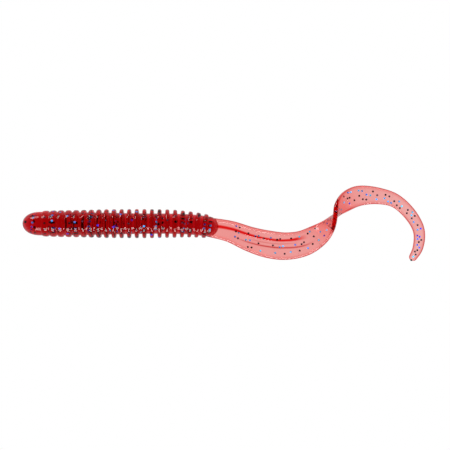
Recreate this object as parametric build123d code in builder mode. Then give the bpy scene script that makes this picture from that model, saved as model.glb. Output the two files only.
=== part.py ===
"""Soft plastic fishing worm with a ribbed body and a twisted ribbon tail.

The worm lies on a flat surface at z = 0, nose at -X and tail at +X. It is one soft moulding,
cut here into short stiff lengths that hinge on one another so that it can flex.
Coloured glitter flakes are buried in every length.
"""

import math
import os

from build123d import *

os.makedirs("parts", exist_ok=True)

# ---- driving dimensions, in millimetres and degrees ----

# Ribs of the body
RIB_PITCH = 2.829
RIB_BASE = 0.86  # half the rib's thickness where it leaves the core
RIB_TOP = 0.66  # half the rib's thickness under its rounded rim
RIB_ROUND = 0.55  # height of the rounded rim

# Ball joints between the lengths of the body
BALL_INSET = 1.1  # how far the ball is smaller than the core
BALL_GAP = 0.16
JOINT_OFFSET = 0.5  # from the middle of a groove to the joint's centre
NECK = 1.0  # from the rear shoulder of a length to the joint's centre

# Body stations: x, y, rib radius, core radius, one for each joint and the last for the dome.
# The ribs rest on the surface, so the height of the axis is the rib radius.
BODY = [
    (-62.16, 0.50, 5.00, 4.42),
    (-53.67, 0.50, 5.12, 4.32),
    (-45.19, 0.50, 5.36, 4.12),
    (-36.70, 0.50, 5.42, 3.95),
    (-28.21, 0.50, 5.42, 3.82),
    (-19.73, 0.47, 5.28, 3.80),
    (-11.26, 0.05, 4.75, 3.80),
    (-6.25, -0.55, 4.40, 3.78),
]

# Core and rib radius of the two ribs of the head and the two of the tail root
HEAD_RIBS = [(4.42, 4.80), (4.42, 4.95)]
ROOT_RIBS = [(3.78, 4.68), (3.78, 4.40)]

# Outline of the nose: distance behind the tip, radius
NOSE_TIP = (-75.65, 0.55, 4.62)
NOSE = [(0.0, 0.0), (0.65, 1.85), (1.95, 3.35), (4.0, 4.22), (7.0, 4.42)]

# Tail blade stations: x, y, z of its middle, width, thickness, twist
TAIL = [
    (-5.2, -0.95, 4.75, 7.3, 2.2, 0),
    (2.0, -2.45, 4.45, 8.1, 2.2, 0),
    (9.5, -5.35, 3.15, 9.4, 2.1, 0),
    (16.3, -7.25, 1.6, 10.4, 2.0, 0),
    (23.0, -8.0, 1.0, 10.4, 2.0, 0),
    (29.4, -7.0, 1.35, 9.9, 2.0, 3),
    (34.6, -4.2, 2.95, 9.3, 2.0, 25),
    (38.4, -0.7, 4.45, 9.0, 2.05, 58),
    (41.2, 3.3, 4.65, 8.7, 2.1, 93),
    (43.5, 6.7, 4.05, 8.4, 2.1, 128),
    (47.0, 9.6, 2.4, 8.0, 2.0, 160),
    (51.5, 11.15, 1.25, 7.6, 1.9, 177),
    (58.2, 11.0, 0.95, 6.3, 1.8, 180),
    (64.6, 9.15, 0.9, 5.3, 1.7, 180),
    (70.1, 4.2, 0.9, 4.9, 1.6, 180),
    (73.5, -2.0, 0.9, 4.5, 1.6, 180),
    (73.2, -8.5, 0.9, 4.0, 1.5, 180),
    (70.5, -13.4, 0.9, 2.7, 1.4, 180),
]

# Joints along the tail, counted in stations, and the lengths that follow them
TAIL_JOINTS = [1.5, 2.75, 4.0, 5.25, 6.5, 7.75, 9.0, 10.5, 12.0, 13.5, 15.0, 17.0]
TAIL_NAMES = [
    "tail_stem",
    "paddle_front",
    "paddle_rear",
    "twist_1",
    "twist_2",
    "twist_3",
    "twist_4",
    "curl_1",
    "curl_2",
    "curl_3",
    "tail_tip",
]
KNUCKLE_GAP = 0.15
KNUCKLE_INSET = 0.03  # how far the rounded end is inside the blade's surface
KNUCKLE_LAND = 0.85  # share of the half thickness at which the hollow end becomes flat

# Spine ridge that runs from the dome along the blade: station, offset to the left, radius
SPINE = [(0.9, 1.0, 0.62), (2.0, 1.5, 0.6), (3.0, 1.9, 0.55), (4.0, 2.2, 0.5), (5.0, 2.2, 0.4)]
SPINE_LIFT = 0.85  # share of the blade's half thickness at which the ridge's axis lies
SPINE_CLEAR = 0.16  # stations kept free on both sides of a joint

# Glitter flakes
FLAKE_RADIUS = 0.42
FLAKE_THICK = 0.05
FLAKES_IN_HEAD = 44
FLAKES_PER_BODY = 32
FLAKES_IN_ROOT = 26
FLAKES_PER_MM = 1.0  # in the tail, along its middle
FLAKE_MARGIN = 1.45  # in the tail, between the joint ahead and a flake's middle
FLAKE_SPACING = 1.0  # least distance between two flakes' middles
FLAKE_NOSE = 4.2  # behind the tip, where the flakes reach their full distance from the axis
COLOURS = ["blue", "black"]


# ---- small helpers ----


def smooth(table, u):
    """Row of a station table at the fractional station u, on a smooth curve through its rows."""
    i = min(max(int(u), 0), len(table) - 2)
    f = u - i
    p0 = table[max(i - 1, 0)]
    p1 = table[i]
    p2 = table[i + 1]
    p3 = table[min(i + 2, len(table) - 1)]
    row = []
    for a, b, c, d in zip(p0, p1, p2, p3):
        row.append(
            b
            + 0.5 * f * (c - a)
            + 0.5 * f * f * (2 * a - 5 * b + 4 * c - d)
            + 0.5 * f * f * f * (3 * b - a - 3 * c + d)
        )
    return row


def straight(table, u):
    """Row of a station table at the fractional station u, on straight lines between its rows."""
    i = min(max(int(u), 0), len(table) - 2)
    f = u - i
    return [a + f * (b - a) for a, b in zip(table[i], table[i + 1])]


def body_point(n):
    """Centre of body joint n. The last one is the centre of the dome."""
    x, y, rib, core = BODY[n]
    return Vector(x, y, rib)


def body_plane(n):
    """Plane with its X along the body's axis from joint n to the next."""
    start = body_point(n)
    along = (body_point(n + 1) - start).normalized()
    side = along.cross(Vector(0, 0, 1)).normalized()
    return Plane(origin=start, x_dir=along, z_dir=side)


def blade_frame(u):
    """Middle of the blade at station u, its direction, its width direction, width and thickness."""
    x, y, z, width, thick, twist = smooth(TAIL, u)
    ahead = Vector(*smooth(TAIL, min(u + 0.02, 17))[:3])
    behind = Vector(*smooth(TAIL, max(u - 0.02, 0))[:3])
    along = (ahead - behind).normalized()
    right = along.cross(Vector(0, 0, 1)).normalized()
    up = right.cross(along)
    angle = math.radians(twist)
    across = right * math.cos(angle) + up * math.sin(angle)
    return Vector(x, y, z), along, across, width, thick


def rib_outline(middle, core, rim):
    """Corners of one rib's outline and the top of its rounded rim."""
    drop = min(RIB_ROUND, 0.5 * (rim - core))
    return [
        (middle - RIB_BASE, core),
        (middle - RIB_TOP, rim - drop),
        (middle, rim),
        (middle + RIB_TOP, rim - drop),
        (middle + RIB_BASE, core),
    ]


def draw_ribs(start, ribs, end):
    """Line from start over every rib to end."""
    here = start
    for foot, shoulder, crown, far_shoulder, far_foot in ribs:
        Line(here, foot)
        Line(foot, shoulder)
        ThreePointArc(shoulder, crown, far_shoulder)
        Line(far_shoulder, far_foot)
        here = far_foot
    Line(here, end)


def draw_ball(x, radius):
    """Quarter round from the side of a ball joint to its end on the axis."""
    low = radius * math.sqrt(0.5)
    ThreePointArc((x, radius), (x + low, low), (x + radius, 0))


def draw_socket(radius, rim):
    """Quarter round of the hollow that takes the ball, and its rim."""
    low = radius * math.sqrt(0.5)
    ThreePointArc((radius, 0), (low, low), (0, radius))
    Line((0, radius), (0, rim))


def add_blade(start, end):
    """Solid blade between two stations, fused into the part being built."""
    steps = max(2, math.ceil((end - start) / 0.42))
    sections = []
    for i in range(steps + 1):
        middle, along, across, width, thick = blade_frame(start + (end - start) * i / steps)
        with BuildSketch(Plane(origin=middle, x_dir=across, z_dir=along)) as section:
            SlotOverall(width, thick)
        sections.append(section.sketch)
    loft(sections)


def add_knuckle(u):
    """Rounded end of a blade length, centred on the joint at station u."""
    middle, along, across, width, thick = blade_frame(u)
    radius = thick / 2 - KNUCKLE_INSET
    half = (width - thick) / 2
    low = radius * math.sqrt(0.5)
    with BuildSketch(Plane(origin=middle, x_dir=across, z_dir=along)) as outline:
        with BuildLine():
            Line((-half - radius, 0), (half + radius, 0))
            ThreePointArc((half + radius, 0), (half + low, low), (half, radius))
            Line((half, radius), (-half, radius))
            ThreePointArc((-half, radius), (-half - low, low), (-half - radius, 0))
        make_face()
    revolve(outline.sketch, axis=Axis(middle, across), revolution_arc=180)


def cut_knuckle(u):
    """Hollow end of a blade length that fits round the knuckle at station u."""
    middle, along, across, width, thick = blade_frame(u)
    radius = thick / 2 + KNUCKLE_GAP
    square = math.sqrt(radius**2 - (KNUCKLE_LAND * thick / 2) ** 2)
    with Locations(Plane(origin=middle, x_dir=along, z_dir=across)):
        Cylinder(radius, width + 4, mode=Mode.SUBTRACT)
        Box(2 * square, thick + 6, width + 6, mode=Mode.SUBTRACT)


def add_spine(start, end):
    """Ridge on the blade between two stations, where the spine runs."""
    first = max(start, SPINE[0][0])
    last = min(end, SPINE[-1][0])
    sections = []
    for i in range(4):
        u = first + (last - first) * i / 3
        middle, along, across, width, thick = blade_frame(u)
        up = across.cross(along)
        row = [r for r in SPINE if r[0] <= u + 0.001][-1]
        after = SPINE[min(SPINE.index(row) + 1, len(SPINE) - 1)]
        span = max(after[0] - row[0], 0.001)
        f = min((u - row[0]) / span, 1)
        offset = row[1] + f * (after[1] - row[1])
        radius = row[2] + f * (after[2] - row[2])
        spot = middle - across * offset + up * (SPINE_LIFT * thick / 2)
        with BuildSketch(Plane(origin=spot, x_dir=across, z_dir=along)) as section:
            Circle(radius)
        sections.append(section.sketch)
    loft(sections)


def scatter(i, salt):
    """Three evenly spread numbers between 0 and 1 for flake i."""
    n = i + 1 + 37.3 * salt
    return (n * 0.8191725) % 1, (n * 0.6710436) % 1, (n * 0.5497005) % 1


def apart(spot, planes):
    """True if spot is far enough from the flakes placed so far."""
    return all((spot - plane.origin).length > FLAKE_SPACING for plane in planes)


def round_flakes(plane, low, high, core, ribs, hollow, nose, count):
    """Planes of the flakes in a round length, most of them close under its skin.

    ribs lists the place and radius of each rib, and hollow is the radius of the front socket.
    The flakes close in on the axis over the distance nose from the front.
    """
    planes = []
    i = 0
    while len(planes) < count:
        a, b, c = scatter(i, plane.origin.X)
        i = i + 1
        turn = 2 * math.pi * a
        out = Vector(0, math.cos(turn), math.sin(turn))
        if i % 3 == 0:
            x, rim = ribs[(i // 3) % len(ribs)]
            x = x + 0.2 * (b - 0.5)
            radius = rim - 0.64
            lean = 0.0
        else:
            x = low + b * (high - low)
            radius = core * (0.62 + 0.26 * c) * min(1, math.sqrt(x / nose))
            lean = 0.8 * (c - 0.5)
            if math.hypot(x, radius) < hollow + 0.6:
                continue
        spot = plane.from_local_coords(Vector(x, 0, 0) + out * radius)
        face = plane.from_local_coords(Vector(x + lean, 0, 0) + out * (radius + 1))
        if apart(spot, planes):
            planes.append(Plane(origin=spot, z_dir=face - spot))
    return planes


def body_flakes(n):
    """Planes of the flakes in the three-rib length behind body joint n."""
    length = (body_point(n + 1) - body_point(n)).length
    ribs = []
    for k in range(3):
        x = RIB_PITCH / 2 - JOINT_OFFSET + RIB_PITCH * k
        ribs.append((x, straight(BODY, n + x / length)[2]))
    core = min(BODY[n][3], BODY[n + 1][3])
    hollow = BODY[n][3] - BALL_INSET + BALL_GAP
    return round_flakes(body_plane(n), 0.6, length - 1.6, core, ribs, hollow, 0.5, FLAKES_PER_BODY)


def blade_flakes(start, end, count):
    """Planes of the flakes in a blade length, spread over its width."""
    reach = (blade_frame(end)[0] - blade_frame(start)[0]).length
    first = start + (end - start) * FLAKE_MARGIN / reach
    planes = []
    i = 0
    while len(planes) < count:
        a, b, c = scatter(i, start)
        i = i + 1
        u = first + (end - first) * a
        middle, along, across, width, thick = blade_frame(u)
        normal = across.cross(along)
        spot = middle + across * (b - 0.5) * (width - 2.4) + normal * (c - 0.5) * 0.5
        face = normal + along * 0.5 * (b - 0.5) + across * 0.4 * (c - 0.5)
        if apart(spot, planes):
            planes.append(Plane(origin=spot, z_dir=face))
    return planes


def add_flakes(planes):
    """Thin six-sided flakes on all the planes."""
    for plane in planes:
        with BuildSketch(plane) as outline:
            RegularPolygon(FLAKE_RADIUS, 6)
        extrude(outline.sketch, amount=FLAKE_THICK / 2, both=True)


# ---- head: smooth blunt nose and the first two ribs ----

nose_tip = Vector(*NOSE_TIP)
head_length = (body_point(0) - nose_tip).length
head_along = (body_point(0) - nose_tip).normalized()
head_side = head_along.cross(Vector(0, 0, 1)).normalized()
head_plane = Plane(origin=nose_tip, x_dir=head_along, z_dir=head_side)
head_ball = BODY[0][3] - BALL_INSET

with BuildPart() as head:
    with BuildSketch(head_plane):
        with BuildLine():
            Spline(NOSE, tangents=[(0, 1), (1, 0.02)])
            last = head_length - RIB_PITCH / 2 - JOINT_OFFSET
            draw_ribs(
                NOSE[-1],
                [
                    rib_outline(last - RIB_PITCH, *HEAD_RIBS[0]),
                    rib_outline(last, *HEAD_RIBS[1]),
                ],
                (head_length - NECK, HEAD_RIBS[1][0]),
            )
            Line((head_length - NECK, HEAD_RIBS[1][0]), (head_length - NECK, head_ball))
            Line((head_length - NECK, head_ball), (head_length, head_ball))
            draw_ball(head_length, head_ball)
            Line((head_length + head_ball, 0), (0, 0))
        make_face()
    revolve(axis=Axis(nose_tip, head_along))
head.part.label = "head"
export_step(head.part, "parts/head.step")

# ---- six alike lengths of the body, three ribs each ----

for n in range(6):
    plane = body_plane(n)
    length = (body_point(n + 1) - body_point(n)).length
    rib_a, core_a = BODY[n][2:]
    rib_b, core_b = BODY[n + 1][2:]
    socket = core_a - BALL_INSET + BALL_GAP
    ball = core_b - BALL_INSET
    ribs = []
    for k in range(3):
        middle = RIB_PITCH / 2 - JOINT_OFFSET + RIB_PITCH * k
        f = middle / length
        ribs.append(rib_outline(middle, core_a + f * (core_b - core_a), rib_a + f * (rib_b - rib_a)))
    neck = length - NECK
    with BuildPart() as body_length:
        with BuildSketch(plane):
            with BuildLine():
                draw_socket(socket, core_a)
                draw_ribs((0, core_a), ribs, (neck, core_b))
                Line((neck, core_b), (neck, ball))
                Line((neck, ball), (length, ball))
                draw_ball(length, ball)
                Line((length + ball, 0), (socket, 0))
            make_face()
        revolve(axis=Axis(plane.origin, plane.x_dir))
    body_length.part.label = f"ribbed_body_{n + 1}"
    export_step(body_length.part, f"parts/ribbed_body_{n + 1}.step")

# ---- tail root: the last two ribs, the dome and the start of the blade ----

root_plane = body_plane(6)
root_length = (body_point(7) - body_point(6)).length
root_socket = BODY[6][3] - BALL_INSET + BALL_GAP
root_core = BODY[7][3]

with BuildPart() as tail_root:
    with BuildSketch(root_plane):
        with BuildLine():
            first = RIB_PITCH / 2 - JOINT_OFFSET
            draw_socket(root_socket, root_core)
            draw_ribs(
                (0, root_core),
                [
                    rib_outline(first, *ROOT_RIBS[0]),
                    rib_outline(first + RIB_PITCH, *ROOT_RIBS[1]),
                ],
                (root_length, root_core),
            )
            draw_ball(root_length, root_core)
            Line((root_length + root_core, 0), (root_socket, 0))
        make_face()
    revolve(axis=Axis(root_plane.origin, root_plane.x_dir))
    add_blade(0.3, TAIL_JOINTS[0])
    add_knuckle(TAIL_JOINTS[0])
    add_spine(0, TAIL_JOINTS[0] - SPINE_CLEAR)
tail_root.part.label = "tail_root"
export_step(tail_root.part, "parts/tail_root.step")

# ---- lengths of the ribbon tail: stem, paddle, half twist, curl and tip ----

for name, start, end in zip(TAIL_NAMES, TAIL_JOINTS, TAIL_JOINTS[1:]):
    with BuildPart() as tail_length:
        add_blade(start, end)
        cut_knuckle(start)
        add_knuckle(end)
        if start + SPINE_CLEAR < SPINE[-1][0]:
            add_spine(start + SPINE_CLEAR, end - SPINE_CLEAR)
    tail_length.part.label = name
    export_step(tail_length.part, f"parts/{name}.step")

# ---- glitter flakes, one set of each colour in every length ----

head_ribs = [(last - RIB_PITCH, HEAD_RIBS[0][1]), (last, HEAD_RIBS[1][1])]
root_ribs = [(first, ROOT_RIBS[0][1]), (first + RIB_PITCH, ROOT_RIBS[1][1])]
places = {
    "head": round_flakes(
        head_plane, 1.4, 12.0, 4.1, head_ribs, 0, FLAKE_NOSE, FLAKES_IN_HEAD
    )
}
for n in range(6):
    places[f"body_{n + 1}"] = body_flakes(n)
places["root"] = round_flakes(
    root_plane, 0.6, root_length + 1.0, 3.5, root_ribs, root_socket, 0.5, FLAKES_IN_ROOT
)
places["root"] += blade_flakes(1.0, TAIL_JOINTS[0], 6)
for name, start, end in zip(TAIL_NAMES, TAIL_JOINTS, TAIL_JOINTS[1:]):
    reach = (blade_frame(end)[0] - blade_frame(start)[0]).length
    places[name] = blade_flakes(start, end, 2 * round(reach * FLAKES_PER_MM / 2))

for name, planes in places.items():
    for turn, colour in enumerate(COLOURS):
        with BuildPart() as flake_set:
            add_flakes(planes[turn::2])
        flake_set.part.label = f"{colour}_flakes_{name}"
        export_step(flake_set.part, f"parts/{colour}_flakes_{name}.step")
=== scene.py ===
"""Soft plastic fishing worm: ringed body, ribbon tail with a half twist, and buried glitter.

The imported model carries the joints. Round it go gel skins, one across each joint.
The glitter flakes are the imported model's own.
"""

import bpy
import numpy as np
from bpy.props import FloatProperty, FloatVectorProperty, IntProperty, PointerProperty
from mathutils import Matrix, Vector


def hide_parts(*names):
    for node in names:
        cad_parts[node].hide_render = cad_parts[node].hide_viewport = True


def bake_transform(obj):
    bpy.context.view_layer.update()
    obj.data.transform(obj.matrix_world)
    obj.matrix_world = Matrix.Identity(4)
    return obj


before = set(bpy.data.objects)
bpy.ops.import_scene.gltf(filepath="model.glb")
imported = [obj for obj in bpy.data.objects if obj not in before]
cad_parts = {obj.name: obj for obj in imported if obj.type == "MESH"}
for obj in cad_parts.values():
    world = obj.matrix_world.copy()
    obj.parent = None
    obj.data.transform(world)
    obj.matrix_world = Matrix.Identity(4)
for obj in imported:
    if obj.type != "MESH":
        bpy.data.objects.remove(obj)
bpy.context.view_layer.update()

bl_info = {
    "name": "Soft Plastic Worm",
    "version": (1, 0, 0),
    "blender": (4, 5, 0),
    "location": "View3D > Sidebar > Worm",
    "description": "Builds a translucent ribbed worm with a ribbon tail over its jointed frame",
    "category": "Object",
}

# ---- tables of the moulding, in millimetres and degrees ----

MM = 0.001
NOSE_TIP = (-75.65, 0.55, 4.62)
NOSE_LENGTH = 7.0
NOSE_RADIUS = 4.42
NOSE_BLUNTNESS = 2.4  # power of the nose's outline; higher is blunter
RIM_AT_NOSE = 4.78  # rib radius that the first ribs grow from, where the nose ends
RIB_HEIGHT_SHARE = 1.02  # height of a rib as a share of the table's, so that its rim reaches it
SLIM_ROUNDING = (0.6, 0.55)  # most a slim rib's rim drops: in millimetres, and of its height
FULL_ROUNDING = 0.92  # how far a full rib's rim drops, as a share of its height

# Body stations: x, y, rib radius (also the height of the axis), core radius
BODY = np.array(
    [
        (-62.16, 0.50, 5.00, 4.42),
        (-53.67, 0.50, 5.12, 4.32),
        (-45.19, 0.50, 5.36, 4.12),
        (-36.70, 0.50, 5.42, 3.95),
        (-28.21, 0.50, 5.42, 3.82),
        (-19.73, 0.47, 5.28, 3.80),
        (-11.26, 0.05, 4.75, 3.80),
        (-6.25, -0.55, 4.40, 3.78),
    ]
)
FIRST_RIB = -66.9035  # place of the first rib's middle along X
RIB_COUNT = 22
BODY_CUTS = np.array([3.0, 6.0, 9.0, 12.0, 15.0, 18.0])  # ribs after which the body's skins meet
BODY_BEND_REACH = 2.9  # length along the body of the bend reach worked out at each body joint; nothing uses it further
NOSE_RINGS = 56
DOME_RINGS = 34
LEAST_STEP = 0.02  # rings closer than this to a cut are left out

# Tail stations: x, y, z of the blade's middle, width, thickness, twist
TAIL = np.array(
    [
        (-5.2, -0.95, 4.75, 7.3, 2.2, 0),
        (2.0, -2.45, 4.45, 8.1, 2.2, 0),
        (9.5, -5.35, 3.15, 9.4, 2.1, 0),
        (16.3, -7.25, 1.6, 10.4, 2.0, 0),
        (23.0, -8.0, 1.0, 10.4, 2.0, 0),
        (29.4, -7.0, 1.35, 9.9, 2.0, 3),
        (34.6, -4.2, 2.95, 9.3, 2.0, 25),
        (38.4, -0.7, 4.45, 9.0, 2.05, 58),
        (41.2, 3.3, 4.65, 8.7, 2.1, 93),
        (43.5, 6.7, 4.05, 8.4, 2.1, 128),
        (47.0, 9.6, 2.4, 8.0, 2.0, 160),
        (51.5, 11.15, 1.25, 7.6, 1.9, 177),
        (58.2, 11.0, 0.95, 6.3, 1.8, 180),
        (64.6, 9.15, 0.9, 5.3, 1.7, 180),
        (70.1, 4.2, 0.9, 4.9, 1.6, 180),
        (73.5, -2.0, 0.9, 4.5, 1.6, 180),
        (73.2, -8.5, 0.9, 4.0, 1.5, 180),
        (70.5, -13.4, 0.9, 2.7, 1.4, 180),
    ]
)
TAIL_JOINTS = [1.5, 2.75, 4.0, 5.25, 6.5, 7.75, 9.0, 10.5, 12.0, 13.5, 15.0]
TAIL_START = -0.42  # station at which the blade begins, inside the dome
TAIL_END = 17.0
TWIST_MIDDLE = 8.0  # station in the middle of the half twist, where the blade is thickest
TWIST_SPREAD = 1.6
BEAD_RUN_IN = 0.35  # distance over which a bead runs into the web
LINE_BELOW = 0.25  # height of a line under the blade as a share of its height on top
START_ROUNDING = 2.6  # distance over which the blade's start narrows
TIP_ROUNDING = 1.3
LEAST_ENDING = 0.0004  # keeps the last ring from closing to a point
END_RINGS = 22  # rings that a rounded end of the blade gets

# Lines along the blade: station, offset to the right of the middle, half width, height
SPINE = np.array(
    [
        (0.35, -0.85, 0.75, 0.12),
        (0.9, -1.0, 0.62, 0.20),
        (2.0, -1.5, 0.52, 0.20),
        (3.0, -1.9, 0.46, 0.20),
        (4.0, -2.2, 0.46, 0.18),
        (4.7, -2.2, 0.60, 0.12),
        (5.5, -2.0, 1.00, 0.0),
    ]
)
SECOND = np.array(
    [
        (1.2, 1.5, 0.16, 0.0),
        (2.0, 1.3, 0.18, 0.05),
        (3.0, 0.9, 0.20, 0.06),
        (4.0, 0.6, 0.20, 0.06),
        (5.0, 0.9, 0.22, 0.05),
        (5.8, 1.2, 0.22, 0.0),
    ]
)
BETWEEN = np.array(
    [
        (1.8, 0.1, 0.12, 0.0),
        (2.4, -0.2, 0.12, 0.03),
        (3.0, -0.5, 0.12, 0.03),
        (4.0, -0.9, 0.12, 0.03),
        (4.8, -0.9, 0.12, 0.0),
    ]
)

BODY_LENGTHS = ["head"] + [f"ribbed_body_{n}" for n in range(1, 7)] + ["tail_root"]
TAIL_LENGTHS = [
    "tail_root",
    "tail_stem",
    "paddle_front",
    "paddle_rear",
    "twist_1",
    "twist_2",
    "twist_3",
    "twist_4",
    "curl_1",
    "curl_2",
    "curl_3",
    "tail_tip",
]
BENT_FROM_REAR = 4  # body skin, from 0, for which the front and rear lengths and the bend direction are swapped; nothing uses them further
OVERLAP = 0.01  # how far each skin runs past a cut, so that no air gap shows in the gel


class WormProperties(bpy.types.PropertyGroup):
    """Sizes and colours of the worm that a user would change."""

    rib_pitch: FloatProperty(
        name="Rib Pitch",
        description="Distance from one rib to the next",
        default=2.829 * MM,
        unit="LENGTH",
        precision=5,
    )
    rib_half_width: FloatProperty(
        name="Rib Half Width",
        description="Half the thickness of a rib at mid height",
        default=0.76 * MM,
        unit="LENGTH",
        precision=5,
    )
    full_rib_half_width: FloatProperty(
        name="Full Rib Half Width",
        description="Half the thickness of the first rib, behind the nose",
        default=1.2 * MM,
        unit="LENGTH",
        precision=5,
    )
    full_ribs: IntProperty(
        name="Full Ribs",
        description="Number of ribs over which the thick rounded ones turn into slim ones",
        default=11,
    )
    rib_softness: FloatProperty(
        name="Rib Softness",
        description="How gently a rib's flank runs into the groove",
        default=0.06 * MM,
        unit="LENGTH",
        precision=5,
    )
    ring_spacing: FloatProperty(
        name="Ring Spacing",
        description="Distance between the rows of points along the body",
        default=0.08 * MM,
        unit="LENGTH",
        precision=5,
    )
    body_columns: IntProperty(
        name="Body Columns", description="Points round the body", default=112
    )
    tail_spacing: FloatProperty(
        name="Tail Spacing",
        description="Distance between the rows of points along the tail",
        default=0.3 * MM,
        unit="LENGTH",
        precision=5,
    )
    tail_columns: IntProperty(
        name="Tail Columns", description="Points round the blade", default=144
    )
    web_share: FloatProperty(
        name="Web Share",
        description="Thickness of the blade's web as a share of its full thickness",
        default=0.68,
        subtype="FACTOR",
    )
    bead_share: FloatProperty(
        name="Bead Share",
        description="Thickness of the blade's edge beads as a share of its full thickness",
        default=0.84,
        subtype="FACTOR",
    )
    gel_density: FloatProperty(
        name="Gel Density",
        description="How much light the gel takes up in each metre",
        default=800.0,
    )
    gel_colour: FloatVectorProperty(
        name="Gel Colour",
        description="Light that the gel of the body lets through",
        default=(0.865, 0.115, 0.20),
        size=3,
        subtype="COLOR",
        min=0.0,
        max=1.0,
    )
    tail_gel_colour: FloatVectorProperty(
        name="Tail Gel Colour",
        description="Light that the gel of the tail lets through",
        default=(0.95, 0.135, 0.10),
        size=3,
        subtype="COLOR",
        min=0.0,
        max=1.0,
    )
    body_tint: FloatVectorProperty(
        name="Body Tint",
        description="Colour at the body's surface",
        default=(1.0, 0.60, 0.68),
        size=3,
        subtype="COLOR",
        min=0.0,
        max=1.0,
    )
    tail_tint: FloatVectorProperty(
        name="Tail Tint",
        description="Colour at the surface of the tail's web",
        default=(0.99, 0.95, 0.94),
        size=3,
        subtype="COLOR",
        min=0.0,
        max=1.0,
    )
    spine_tint: FloatVectorProperty(
        name="Spine Tint",
        description="Colour of the spine in the tail",
        default=(0.85, 0.01, 0.01),
        size=3,
        subtype="COLOR",
        min=0.0,
        max=1.0,
    )
    edge_tint: FloatVectorProperty(
        name="Edge Tint",
        description="Colour of the tail's edge beads",
        default=(0.66, 0.05, 0.05),
        size=3,
        subtype="COLOR",
        min=0.0,
        max=1.0,
    )
    blue_deep: FloatVectorProperty(
        name="Deep Blue",
        description="Darker end of the blue flakes' colour",
        default=(0.0, 0.03, 0.75),
        size=3,
        subtype="COLOR",
        min=0.0,
        max=1.0,
    )
    blue_bright: FloatVectorProperty(
        name="Bright Blue",
        description="Brighter end of the blue flakes' colour",
        default=(0.0, 0.60, 1.0),
        size=3,
        subtype="COLOR",
        min=0.0,
        max=1.0,
    )


BODY_CLOUD = (0.99, 0.30, 0.36)
TAIL_CLOUD = (0.98, 0.90, 0.89)
WHITE = (1.0, 1.0, 1.0)


# ---- curves ----


def through_stations(table, u):
    """Rows of a station table at the fractional stations u: Catmull-Rom cubics through the rows."""
    i = np.clip(u.astype(int), 0, len(table) - 2)
    f = (u - i)[:, None]
    p0 = table[np.maximum(i - 1, 0)]
    p1 = table[i]
    p2 = table[i + 1]
    p3 = table[np.minimum(i + 2, len(table) - 1)]
    linear = 0.5 * f * (p2 - p0)
    square = 0.5 * f**2 * (2 * p0 - 5 * p1 + 4 * p2 - p3)
    cube = 0.5 * f**3 * (3 * p1 - p0 - 3 * p2 + p3)
    return p1 + linear + square + cube


def along_x(places, values, x):
    """Values at x on cubics through unevenly spaced places, with slopes from the neighbours."""
    slope = np.gradient(values, places)
    i = np.clip(np.searchsorted(places, x) - 1, 0, len(places) - 2)
    h = places[i + 1] - places[i]
    f = (x - places[i]) / h
    start = values[i] * (1 + 2 * f) * (1 - f) ** 2 + slope[i] * h * f * (1 - f) ** 2
    end = values[i + 1] * f**2 * (3 - 2 * f) - slope[i + 1] * h * f**2 * (1 - f)
    return start + end


def unit(v):
    """Rows of v, each made one long."""
    return v / np.linalg.norm(v, axis=-1, keepdims=True)


def body_line(x):
    """Middle of the body at the places x, and its direction there."""
    tip = np.array(NOSE_TIP)
    rows = BODY[:, :3]
    beyond = rows[-1] + 0.8 * (rows[-1] - rows[-2])
    line = np.vstack([tip, rows, beyond])
    y = along_x(line[:, 0], line[:, 1], x)
    z = along_x(line[:, 0], line[:, 2], x)
    middle = np.stack([x, y, z], axis=1)
    return middle, unit(np.gradient(middle, x, axis=0))


def body_radius(x, p):
    """Radius of the body at the places x.

    Nose: R * sqrt(1 - (1 - d / L) ** 2.4), with d the distance behind the tip.
    Body: the core radius, plus for each rib a step 0.5 * (1 - tanh((q - w) / s)) of the distance q
    from its middle, times its height, which a round rim lowers by r * (1 - sqrt(1 - (q / w) ** 2)).
    Dome: core * sqrt(1 - t ** 2), with t the share of the dome's length.
    """
    behind = np.clip((x - NOSE_TIP[0]) / NOSE_LENGTH, 0, 1)
    nose = NOSE_RADIUS * np.sqrt(np.clip(1 - (1 - behind) ** NOSE_BLUNTNESS, 0, None))
    core_x = np.concatenate([[NOSE_TIP[0] + NOSE_LENGTH], BODY[:, 0]])
    core = np.interp(x, core_x, np.concatenate([[NOSE_RADIUS], BODY[:, 3]]))
    rim = np.interp(x, core_x, np.concatenate([[RIM_AT_NOSE], BODY[:, 2]]))
    pitch = p.rib_pitch / MM
    width = p.rib_half_width / MM
    soft = p.rib_softness / MM
    k = np.clip(np.round((x - FIRST_RIB) / pitch), 0, RIB_COUNT - 1)
    q = np.abs(x - FIRST_RIB - k * pitch)
    fullness = np.clip(1 - k / p.full_ribs, 0, 1)
    width = width + (p.full_rib_half_width / MM - width) * fullness
    step = 0.5 * (1 - np.tanh((q - width) / soft))
    height = (rim - core) * RIB_HEIGHT_SHARE
    round_rim = np.minimum(SLIM_ROUNDING[0], SLIM_ROUNDING[1] * height)
    round_rim = round_rim + (FULL_ROUNDING * height - round_rim) * fullness
    drop = round_rim * (1 - np.sqrt(np.clip(1 - (q / (width + soft)) ** 2, 0, 1)))
    body = core + (height - drop) * step
    dome_share = np.clip((x - BODY[-1, 0]) / BODY[-1, 3], 0, 1)
    dome = np.sqrt(np.clip(1 - dome_share**2, 0, None))
    return np.where(behind < 1, nose, body) * dome


def tail_rows(u):
    """Rows of the tail's table at the stations u, on a straight line ahead of the first one."""
    ahead = np.clip(u, None, 0)[:, None] * np.append((TAIL[1] - TAIL[0])[:3], [0, 0, 0])
    return through_stations(TAIL, np.clip(u, 0, None)) + ahead


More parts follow.
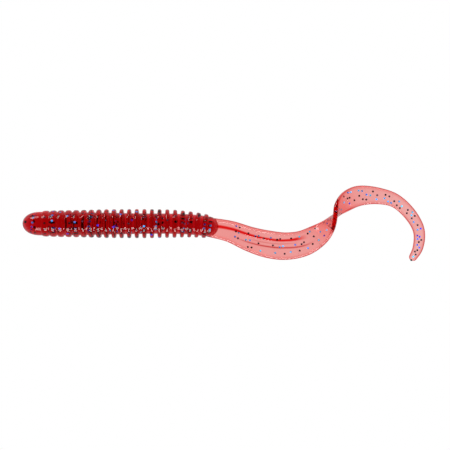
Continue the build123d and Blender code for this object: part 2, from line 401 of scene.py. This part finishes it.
def tail_line(u):
    """Middle of the blade at the stations u, its direction, its width direction and normal."""
    middle = tail_rows(u)[:, :3]
    ahead = tail_rows(np.minimum(u + 0.02, TAIL_END))[:, :3]
    back = tail_rows(u - 0.02)[:, :3]
    along = unit(ahead - back)
    right = unit(np.cross(along, (0.0, 0.0, 1.0)))
    up = np.cross(right, along)
    twist = np.radians(tail_rows(u)[:, 5])[:, None]
    across = right * np.cos(twist) + up * np.sin(twist)
    return middle, along, across, np.cross(across, along)


def line_on_blade(table, u):
    """Offset, half width and height of a line along the blade at the stations u."""
    columns = [np.interp(u, table[:, 0], table[:, n]) for n in (1, 2, 3)]
    inside = (u > table[0, 0]) & (u < table[-1, 0])
    return columns[0][:, None], columns[1][:, None], (columns[2] * inside)[:, None]


# ---- meshes ----


def across_section(ring):
    """Faces that close a cut end: strips between each upper point and the lower one under it.

    Point j of the ring has the same place across the section as point -j, so no face leaves the
    section's outline, however it curves.
    """
    half = len(ring) // 2
    top = ring[: half + 1]
    low = ring[-np.arange(half + 1)]
    strips = np.stack([top[1:-2], top[2:-1], low[2:-1], low[1:-2]], axis=-1).tolist()
    return [[top[0], top[1], low[1]], *strips, [top[-2], top[-1], low[-2]]]


def skin_mesh(name, grid, poles, rounded, marks):
    """Closed skin over a grid of points in millimetres: rows along the length, columns round it.

    Every cell of the grid is a four-sided face. A fan to a pole closes a rounded end and is shaded
    smooth. Strips across the section close an end where the gel is cut, and are shaded flat.
    marks holds three numbers for every grid point: spine, fine lines, edge.
    """
    rows, columns = grid.shape[:2]
    here = np.arange(rows * columns).reshape(rows, columns)
    beside = np.roll(here, -1, axis=1)
    cells = np.stack([here[:-1], here[1:], beside[1:], beside[:-1]], axis=-1)
    faces = cells.reshape(-1, 4).tolist()
    smooth = [True] * len(faces)
    points = [grid.reshape(-1, 3)]
    values = [marks.reshape(-1, 3)]
    for row, pole, is_round in ((0, poles[0], rounded[0]), (-1, poles[1], rounded[1])):
        if is_round:
            tip = np.full(columns, rows * columns + len(points) - 1)
            closing = np.stack([here[row], beside[row], tip], axis=-1).tolist()
            points.append(pole[None])
            values.append(marks[row].mean(axis=0)[None])
        else:
            closing = across_section(here[row])
        faces += closing if row == 0 else [face[::-1] for face in closing]
        smooth += [bool(is_round)] * len(closing)
    points = np.vstack(points) * MM
    values = np.vstack(values)
    mesh = bpy.data.meshes.new(name)
    mesh.from_pydata(points.tolist(), [], faces)
    smooth = np.array(smooth)
    mesh.polygons.foreach_set("use_smooth", smooth)
    cut = mesh.attributes.new("cut", "FLOAT", "FACE")
    cut.data.foreach_set("value", (~smooth).astype(np.float32))
    attribute = mesh.attributes.new("marks", "FLOAT_VECTOR", "POINT")
    attribute.data.foreach_set("vector", values.astype(np.float32).ravel())
    mesh.update()
    return mesh


def add_piece(mesh, material):
    """Object for a mesh, at the origin, with its material."""
    piece = bpy.data.objects.new(mesh.name, mesh)
    bpy.context.scene.collection.objects.link(piece)
    mesh.materials.append(material)
    return piece


def body_skin(name, x, p):
    """Skin of the body over the places x: a circle of body_radius round body_line at each."""
    middle, along = body_line(x)
    side = unit(np.cross(along, (0.0, 0.0, 1.0)))
    up = np.cross(side, along)
    turn = np.linspace(0, 2 * np.pi, p.body_columns, endpoint=False)
    out = side[:, None] * np.cos(turn)[None, :, None] + up[:, None] * np.sin(turn)[None, :, None]
    grid = middle[:, None] + body_radius(x, p)[:, None, None] * out
    marks = np.zeros(grid.shape)
    rounded = (x[0] < NOSE_TIP[0] + 1, x[-1] > BODY[-1, 0] + 1)
    return skin_mesh(name, grid, (middle[0], middle[-1]), rounded, marks)


def half_thickness(u, across, width, thick, top, p):
    """Half thickness of the blade at the offsets across its width.

    With e the distance from the edge and b the bead's radius it is sqrt(b^2 - (b - e)^2) while
    e < b. Further in it is the web plus (b - web) * exp(-((e - b) / 0.35)^2). The lines along
    the blade add height * exp(-(distance / half width)^2) each.
    """
    edge = np.clip(width / 2 - np.abs(across), 0, None)
    twisted = np.exp(-(((u[:, None] - TWIST_MIDDLE) / TWIST_SPREAD) ** 2))
    bead = thick / 2 * (p.bead_share + 0.16 * twisted)
    web = thick / 2 * (p.web_share + 0.3 * twisted)
    rim = np.sqrt(np.clip(bead**2 - (bead - edge) ** 2, 0, None))
    run_in = np.exp(-((np.clip(edge - bead, 0, None) / BEAD_RUN_IN) ** 2))
    inner = web + (bead - web) * run_in
    half = np.where(edge < bead, rim, inner)
    for table in (SPINE, SECOND, BETWEEN):
        offset, spread, height = line_on_blade(table, u)
        ridge = height * np.exp(-(((across - offset) / spread) ** 2))
        half = half + np.where(top, ridge, LINE_BELOW * ridge) * np.clip(edge / bead, 0, 1)
    return half


def blade_skin(name, u, p, rounded_start, rounded_end):
    """Skin of the tail over the stations u: the blade's section carried along tail_line.

    Column angle a puts a point at width / 2 * cos(a) across and at the half thickness above or
    below, by the sign of sin(a). Every point then slides along the blade until the section stands
    upright, so that the cuts between skins do. A rounded end narrows it as a half ellipse.
    """
    middle, along, sideways, normal = tail_line(u)
    rows = tail_rows(u)
    reach = np.concatenate([[0], np.cumsum(np.linalg.norm(np.diff(middle, axis=0), axis=1))])
    ending = np.ones(len(u))
    if rounded_start:
        start = np.clip(reach / START_ROUNDING, 0, 1)
        ending *= np.sqrt(np.clip(1 - (1 - start) ** 2, LEAST_ENDING, 1))
    if rounded_end:
        left = np.clip((reach[-1] - reach) / TIP_ROUNDING, 0, 1)
        ending *= np.sqrt(np.clip(1 - (1 - left) ** 2, LEAST_ENDING, 1))
    width = (rows[:, 3] * ending)[:, None]
    thick = (rows[:, 4] * np.sqrt(ending))[:, None]
    turn = np.linspace(0, 2 * np.pi, p.tail_columns, endpoint=False)[None, :]
    across = width / 2 * np.cos(turn)
    top = np.sin(turn) > 0
    flat = np.abs(np.sin(turn)) > 1e-6
    half = half_thickness(u, across, width, thick, top, p) * flat
    height = np.where(top, half, -half)
    off = sideways[:, None] * across[..., None] + normal[:, None] * height[..., None]
    heading = unit(along * (1.0, 1.0, 0.0))
    lean = np.einsum("rck,rk->rc", off, heading) / np.einsum("rk,rk->r", along, heading)[:, None]
    grid = middle[:, None] + off - lean[..., None] * along[:, None]
    marks = blade_marks(u, across, width)
    return skin_mesh(name, grid, (middle[0], middle[-1]), (rounded_start, rounded_end), marks)


def blade_marks(u, across, width):
    """Masks for the tail's colour: spine, fine lines and edge, each 1 on its line and 0 away."""
    offset, spread, height = line_on_blade(SPINE, u)
    spine = np.clip(height / 0.12, 0, 1) * np.exp(-(((across - offset) / (spread * 0.9)) ** 4))
    fine = np.zeros(across.shape)
    for table, strength in ((SECOND, 1.0), (BETWEEN, 0.5)):
        offset, spread, height = line_on_blade(table, u)
        share = np.clip(height / table[:, 3].max(), 0, 1) * strength
        fine = np.maximum(fine, share * np.exp(-(((across - offset) / (spread * 1.3)) ** 2)))
    inside = width / 2 - np.abs(across)
    edge = np.exp(-(((inside - 0.18) / 0.26) ** 2))
    return np.stack([spine, fine, edge], axis=-1)


# ---- materials ----


def new_group(name, inputs, outputs):
    """Empty shader node group with the given sockets, each (name, kind, value)."""
    group = bpy.data.node_groups.new(name, "ShaderNodeTree")
    for socket, kind, value in inputs:
        made = group.interface.new_socket(socket, in_out="INPUT", socket_type=kind)
        made.default_value = value
    for socket, kind in outputs:
        group.interface.new_socket(socket, in_out="OUTPUT", socket_type=kind)
    return group, group.nodes.new("NodeGroupInput"), group.nodes.new("NodeGroupOutput")


def noise(tree, scale, detail, vector):
    """Noise node on the given coordinates."""
    node = tree.nodes.new("ShaderNodeTexNoise")
    node.inputs["Scale"].default_value = scale
    node.inputs["Detail"].default_value = detail
    tree.links.new(vector, node.inputs["Vector"])
    return node


def ranged(tree, value, low, high, from_low=0.3, from_high=0.7):
    """Map Range node that takes a value to low..high."""
    node = tree.nodes.new("ShaderNodeMapRange")
    node.inputs["From Min"].default_value = from_low
    node.inputs["From Max"].default_value = from_high
    tree.links.new(value, node.inputs["Value"])
    for socket, limit in (("To Min", low), ("To Max", high)):
        if isinstance(limit, bpy.types.NodeSocket):
            tree.links.new(limit, node.inputs[socket])
        else:
            node.inputs[socket].default_value = limit
    return node.outputs["Result"]


def mixed(tree, factor, a, b):
    """Colour mix of two sockets or colours, by a socket."""
    node = tree.nodes.new("ShaderNodeMix")
    node.data_type = "RGBA"
    tree.links.new(factor, node.inputs["Factor"])
    for socket, value in ((node.inputs[6], a), (node.inputs[7], b)):
        if isinstance(value, bpy.types.NodeSocket):
            tree.links.new(value, socket)
        else:
            socket.default_value = (*value, 1.0)
    return node.outputs[2]


def cast_gel_group():
    """Cast Gel: cloudy colour, slightly uneven gloss and the fine orange peel of a poured mould."""
    group, given, made = new_group(
        "Cast Gel",
        [
            ("Colour", "NodeSocketColor", (1.0, 0.5, 0.5, 1.0)),
            ("Cloud Colour", "NodeSocketColor", (1.0, 0.3, 0.3, 1.0)),
            ("Cloud Amount", "NodeSocketFloat", 0.5),
            ("Gloss Low", "NodeSocketFloat", 0.03),
            ("Gloss High", "NodeSocketFloat", 0.08),
        ],
        [
            ("Colour", "NodeSocketColor"),
            ("Roughness", "NodeSocketFloat"),
            ("Height", "NodeSocketFloat"),
        ],
    )
    place = group.nodes.new("ShaderNodeTexCoord").outputs["Object"]
    clouds = noise(group, 260.0, 3.0, place).outputs["Fac"]
    amount = group.nodes.new("ShaderNodeMath")
    amount.operation = "MULTIPLY"
    group.links.new(ranged(group, clouds, 0.0, 1.0, 0.42, 0.62), amount.inputs[0])
    group.links.new(given.outputs["Cloud Amount"], amount.inputs[1])
    colour = mixed(group, amount.outputs[0], given.outputs["Colour"], given.outputs["Cloud Colour"])
    gloss = noise(group, 900.0, 2.0, place).outputs["Fac"]
    rough = ranged(group, gloss, given.outputs["Gloss Low"], given.outputs["Gloss High"])
    peel = noise(group, 1400.0, 2.0, place).outputs["Fac"]
    group.links.new(colour, made.inputs["Colour"])
    group.links.new(rough, made.inputs["Roughness"])
    group.links.new(peel, made.inputs["Height"])
    return group


def glitter_group():
    """Glitter Tint: a colour between two, even over a flake and different from flake to flake."""
    group, given, made = new_group(
        "Glitter Tint",
        [
            ("Dark", "NodeSocketColor", (0.0, 0.0, 0.2, 1.0)),
            ("Bright", "NodeSocketColor", (0.0, 0.4, 1.0, 1.0)),
            ("Scale", "NodeSocketFloat", 330.0),
        ],
        [("Colour", "NodeSocketColor"), ("Roughness", "NodeSocketFloat")],
    )
    place = group.nodes.new("ShaderNodeTexCoord").outputs["Object"]
    patch = noise(group, 330.0, 0.0, place)
    group.links.new(given.outputs["Scale"], patch.inputs["Scale"])
    share = ranged(group, patch.outputs["Fac"], 0.0, 1.0, 0.36, 0.66)
    colour = mixed(group, share, given.outputs["Dark"], given.outputs["Bright"])
    rough = ranged(group, noise(group, 2600.0, 2.0, place).outputs["Fac"], 0.22, 0.38)
    group.links.new(colour, made.inputs["Colour"])
    group.links.new(rough, made.inputs["Roughness"])
    return group


def empty_material(name):
    """Material with only its output node."""
    material = bpy.data.materials.new(name)
    material.use_nodes = True
    material.node_tree.nodes.clear()
    output = material.node_tree.nodes.new("ShaderNodeOutputMaterial")
    return material, material.node_tree, output


def grouped(tree, group, **colours):
    """Group node with colours set by socket name, where _ stands for a space."""
    node = tree.nodes.new("ShaderNodeGroup")
    node.node_tree = group
    for name, colour in colours.items():
        node.inputs[name.replace("_", " ")].default_value = (*colour, 1.0)
    return node


def gel_material(name, p, depth_colour, colour, cloud, with_marks):
    """Clear soft plastic that takes up green and blue light over its depth.

    With marks it is redder along the spine, the fine lines and the edges.
    """
    material, tree, output = empty_material(name)
    shader = tree.nodes.new("ShaderNodeBsdfPrincipled")
    shader.inputs["Transmission Weight"].default_value = 1.0
    shader.inputs["IOR"].default_value = 1.2
    shader.inputs["Coat Roughness"].default_value = 0.04
    gel = grouped(tree, group_named("Cast Gel"), Colour=colour, Cloud_Colour=cloud)
    surface = gel.outputs["Colour"]
    if with_marks:
        marks = tree.nodes.new("ShaderNodeAttribute")
        marks.attribute_name = "marks"
        parts = tree.nodes.new("ShaderNodeSeparateXYZ")
        tree.links.new(marks.outputs["Vector"], parts.inputs["Vector"])
        surface = mixed(tree, parts.outputs["Z"], surface, p.edge_tint)
        surface = mixed(tree, parts.outputs["Y"], surface, p.edge_tint)
        surface = mixed(tree, parts.outputs["X"], surface, p.spine_tint)
    cut = tree.nodes.new("ShaderNodeAttribute")
    cut.attribute_name = "cut"
    surface = mixed(tree, cut.outputs["Fac"], surface, WHITE)
    tree.links.new(surface, shader.inputs["Base Color"])
    rough = ranged(tree, cut.outputs["Fac"], gel.outputs["Roughness"], 0.0, 0.0, 1.0)
    tree.links.new(rough, shader.inputs["Roughness"])
    gloss = ranged(tree, cut.outputs["Fac"], 0.6, 0.0, 0.0, 1.0)
    tree.links.new(gloss, shader.inputs["Coat Weight"])
    bump = tree.nodes.new("ShaderNodeBump")
    bump.inputs["Strength"].default_value = 0.08
    bump.inputs["Distance"].default_value = 0.02 * MM
    height = ranged(tree, cut.outputs["Fac"], gel.outputs["Height"], 0.5, 0.0, 1.0)
    tree.links.new(height, bump.inputs["Height"])
    tree.links.new(bump.outputs["Normal"], shader.inputs["Normal"])
    depth = tree.nodes.new("ShaderNodeVolumeAbsorption")
    depth.inputs["Color"].default_value = (*depth_colour, 1.0)
    depth.inputs["Density"].default_value = p.gel_density
    tree.links.new(shader.outputs["BSDF"], output.inputs["Surface"])
    tree.links.new(depth.outputs["Volume"], output.inputs["Volume"])
    return material


def flake_material(name, dark, bright, metallic):
    """Foil flake: metallic, with its tint changing from flake to flake."""
    material, tree, output = empty_material(name)
    shader = tree.nodes.new("ShaderNodeBsdfPrincipled")
    shader.inputs["Metallic"].default_value = metallic
    tint = grouped(tree, group_named("Glitter Tint"), Dark=dark, Bright=bright)
    tree.links.new(tint.outputs["Colour"], shader.inputs["Base Color"])
    tree.links.new(tint.outputs["Roughness"], shader.inputs["Roughness"])
    tree.links.new(shader.outputs["BSDF"], output.inputs["Surface"])
    return material


def group_named(name):
    """The shared node group of that name, built at its first use."""
    builders = {"Cast Gel": cast_gel_group, "Glitter Tint": glitter_group}
    return bpy.data.node_groups.get(name) or builders[name]()


# ---- operators ----


class WORM_OT_body(bpy.types.Operator):
    """Ringed body with its nose and dome, one gel skin across each body joint"""

    bl_idname = "worm.body"
    bl_label = "Build Body"

    def execute(self, context):
        p = context.scene.worm
        gel = gel_material("Red Gel Body", p, p.gel_colour, p.body_tint, BODY_CLOUD, False)
        tip = NOSE_TIP[0]
        dome = BODY[-1, 0]
        reach = BODY[-1, 3]
        quarter = np.linspace(0, np.pi / 2, NOSE_RINGS)
        nose_x = tip + NOSE_LENGTH * (1 - np.cos(quarter))[1:]
        body_x = np.arange(nose_x[-1], dome, p.ring_spacing / MM)[1:]
        dome_x = dome + reach * np.sin(np.linspace(0, np.pi / 2, DOME_RINGS))[:-1]
        places = np.concatenate([[tip + 0.002], nose_x, body_x, dome_x, [dome + reach - 0.001]])
        pitch = p.rib_pitch / MM
        cuts = FIRST_RIB + pitch * (0.5 + BODY_CUTS)
        edges = np.concatenate([[tip - 1], cuts, [dome + reach + 1]])
        for n in range(7):
            low = edges[n] - OVERLAP
            high = edges[n + 1] + OVERLAP
            inside = places[(places > low) & (places < high)]
            if n > 0:
                inside = np.concatenate([[low], inside[inside > low + LEAST_STEP]])
            if n < 6:
                inside = np.concatenate([inside[inside < high - LEAST_STEP], [high]])
            name = f"body_gel_{n + 1}"
            piece = add_piece(body_skin(name, inside, p), gel)
            nodes = BODY_LENGTHS[n : n + 1] if n < 6 else BODY_LENGTHS[6:]
            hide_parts(*nodes)
            middle, along = body_line(np.array([BODY[n, 0], BODY[n, 0] + 0.1]))
            way = Vector(along[0]) * BODY_BEND_REACH * MM
            front, rear = BODY_LENGTHS[n : n + 2]
            if n == BENT_FROM_REAR:
                front, rear, way = rear, front, -way
            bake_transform(piece)
        return {"FINISHED"}


class WORM_OT_tail(bpy.types.Operator):
    """Ribbon tail with its spine, beads, half twist and curl, one gel skin across each joint"""

    bl_idname = "worm.tail"
    bl_label = "Build Tail"

    def execute(self, context):
        p = context.scene.worm
        gel = gel_material("Red Gel Tail", p, p.tail_gel_colour, p.tail_tint, TAIL_CLOUD, True)
        joints = TAIL_JOINTS
        middles = [(a + b) / 2 for a, b in zip(joints, joints[1:])]
        edges = [TAIL_START] + middles + [TAIL_END]
        for n, joint in enumerate(joints):
            low = edges[n]
            high = edges[n + 1]
            ends = tail_line(np.array([low, joint, high]))[0]
            span = np.linalg.norm(np.diff(ends, axis=0), axis=1)
            steps = int(span.sum() / (p.tail_spacing / MM)) + 2
            gap = OVERLAP / span.sum() * (high - low)
            u = np.linspace(low - gap * (n > 0), high + gap * (n < len(joints) - 1), steps)
            if n == 0:
                closer = np.linspace(0, 1, END_RINGS) ** 2
                u = np.concatenate([low + (u[6] - low) * closer, u[7:]])
            if n == len(joints) - 1:
                closer = np.linspace(1, 0, END_RINGS) ** 2
                u = np.concatenate([u[:-7], high - (high - u[-7]) * closer])
            name = f"tail_gel_{n + 1}"
            mesh = blade_skin(name, u, p, n == 0, n == len(joints) - 1)
            piece = add_piece(mesh, gel)
            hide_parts(*TAIL_LENGTHS[n : n + 2])
            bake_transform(piece)
        return {"FINISHED"}


class WORM_OT_glitter(bpy.types.Operator):
    """Foil finish for the blue and the black flakes"""

    bl_idname = "worm.glitter"
    bl_label = "Finish Glitter"

    def execute(self, context):
        p = context.scene.worm
        finishes = {
            "blue": flake_material("Blue Foil", p.blue_deep, p.blue_bright, 0.0),
            "black": flake_material("Black Foil", (0.004, 0.004, 0.008), (0.03, 0.03, 0.06), 0.3),
        }
        for name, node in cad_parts.items():
            colour = name.split("_flakes_")[0]
            if colour in finishes:
                node.data.materials.clear()
                node.data.materials.append(finishes[colour])
        return {"FINISHED"}


class WORM_OT_stage(bpy.types.Operator):
    """Plain pale floor, soft studio light and the camera above the worm"""

    bl_idname = "worm.stage"
    bl_label = "Set Up Stage"

    def execute(self, context):
        floor_mesh = bpy.data.meshes.new("floor")
        far = 3.0
        corners = [(-far, -far, 0), (far, -far, 0), (far, far, 0), (-far, far, 0)]
        floor_mesh.from_pydata(corners, [], [(0, 1, 2, 3)])
        floor = bpy.data.objects.new("floor", floor_mesh)
        context.scene.collection.objects.link(floor)
        floor.location.z = -0.05 * MM
        material, tree, output = empty_material("Pale Floor")
        glow = tree.nodes.new("ShaderNodeEmission")
        path = tree.nodes.new("ShaderNodeLightPath")
        mirrored = ranged(tree, path.outputs["Is Glossy Ray"], 0.95, 0.50, 0.0, 1.0)
        seen = ranged(tree, path.outputs["Is Transmission Ray"], mirrored, 0.95, 0.0, 1.0)
        strength = ranged(tree, path.outputs["Is Camera Ray"], seen, 1.0, 0.0, 1.0)
        tree.links.new(strength, glow.inputs["Strength"])
        tree.links.new(glow.outputs["Emission"], output.inputs["Surface"])
        floor_mesh.materials.append(material)
        for name, azimuth, elevation, distance, wide, high, radiance in (
            ("key_softbox", -90.0, 36.0, 0.60, 0.60, 0.34, 6.0),
            ("rim_softbox", 125.0, 20.0, 0.60, 0.30, 0.20, 5.0),
        ):
            add_softbox(name, azimuth, elevation, distance, wide, high, radiance)
        light_world(context.scene)
        camera_data = bpy.data.cameras.new("camera")
        camera = bpy.data.objects.new("camera", camera_data)
        context.scene.collection.objects.link(camera)
        camera.location = (-0.008, 0.0, 0.46)
        aim = Vector((0.0, 0.0, 0.0045))
        look = aim - camera.location
        camera.rotation_euler = (0.0, -np.arctan2(look.x, -look.z), 0.0)
        camera_data.sensor_width = 36.0
        camera_data.lens = 36.0 * look.length / 0.16875
        camera_data.clip_start = 0.01
        context.scene.camera = camera
        context.scene.view_settings.view_transform = "Standard"
        return {"FINISHED"}


def add_softbox(name, azimuth, elevation, distance, wide, high, radiance):
    """Area light that faces the worm from a direction in degrees, with the given brightness."""
    light = bpy.data.lights.new(name, "AREA")
    light.shape = "RECTANGLE"
    light.size = wide
    light.size_y = high
    light.energy = radiance * np.pi * wide * high
    box = bpy.data.objects.new(name, light)
    bpy.context.scene.collection.objects.link(box)
    a = np.radians(azimuth)
    e = np.radians(elevation)
    way = Vector((np.cos(a) * np.cos(e), np.sin(a) * np.cos(e), np.sin(e)))
    box.location = way * distance
    box.rotation_euler = (-way).to_track_quat("-Z", "Y").to_euler()
    box.visible_camera = False


def light_world(scene):
    """Dim room that is brighter low down than overhead, and plain white behind the object."""
    world = bpy.data.worlds.new("studio")
    scene.world = world
    world.use_nodes = True
    tree = world.node_tree
    tree.nodes.clear()
    output = tree.nodes.new("ShaderNodeOutputWorld")
    room = tree.nodes.new("ShaderNodeBackground")
    plain = tree.nodes.new("ShaderNodeBackground")
    plain.inputs["Color"].default_value = (*WHITE, 1.0)
    direction = tree.nodes.new("ShaderNodeTexCoord")
    split = tree.nodes.new("ShaderNodeSeparateXYZ")
    tree.links.new(direction.outputs["Generated"], split.inputs["Vector"])
    path = tree.nodes.new("ShaderNodeLightPath")
    dim = ranged(tree, split.outputs["Z"], 0.30, 0.02, 0.0, 0.75)
    clear = ranged(tree, path.outputs["Is Transmission Ray"], dim, 0.85, 0.0, 1.0)
    soft = ranged(tree, path.outputs["Diffuse Depth"], clear, 6.0, 0.0, 1.0)
    tree.links.new(soft, room.inputs["Strength"])
    both = tree.nodes.new("ShaderNodeMixShader")
    tree.links.new(path.outputs["Is Camera Ray"], both.inputs["Fac"])
    tree.links.new(room.outputs["Background"], both.inputs[1])
    tree.links.new(plain.outputs["Background"], both.inputs[2])
    tree.links.new(both.outputs["Shader"], output.inputs["Surface"])


class WORM_PT_panel(bpy.types.Panel):
    """Sidebar panel with the worm's operators and sizes"""

    bl_idname = "WORM_PT_panel"
    bl_label = "Soft Plastic Worm"
    bl_space_type = "VIEW_3D"
    bl_region_type = "UI"
    bl_category = "Worm"

    def draw(self, context):
        for operator in OPERATORS:
            self.layout.operator(operator.bl_idname)
        for name in WormProperties.__annotations__:
            self.layout.prop(context.scene.worm, name)


OPERATORS = (WORM_OT_body, WORM_OT_tail, WORM_OT_glitter, WORM_OT_stage)
CLASSES = (WormProperties, *OPERATORS, WORM_PT_panel)


def register():
    """Makes the classes known to Blender and the sizes part of the scene."""
    for each in CLASSES:
        bpy.utils.register_class(each)
    bpy.types.Scene.worm = PointerProperty(type=WormProperties)


def unregister():
    """Takes the classes and the sizes away again."""
    del bpy.types.Scene.worm
    for each in reversed(CLASSES):
        bpy.utils.unregister_class(each)


def main():
    """Builds the worm and its stage."""
    register()
    bpy.ops.worm.body()
    bpy.ops.worm.tail()
    bpy.ops.worm.glitter()
    bpy.ops.worm.stage()


if __name__ == "__main__":
    main()
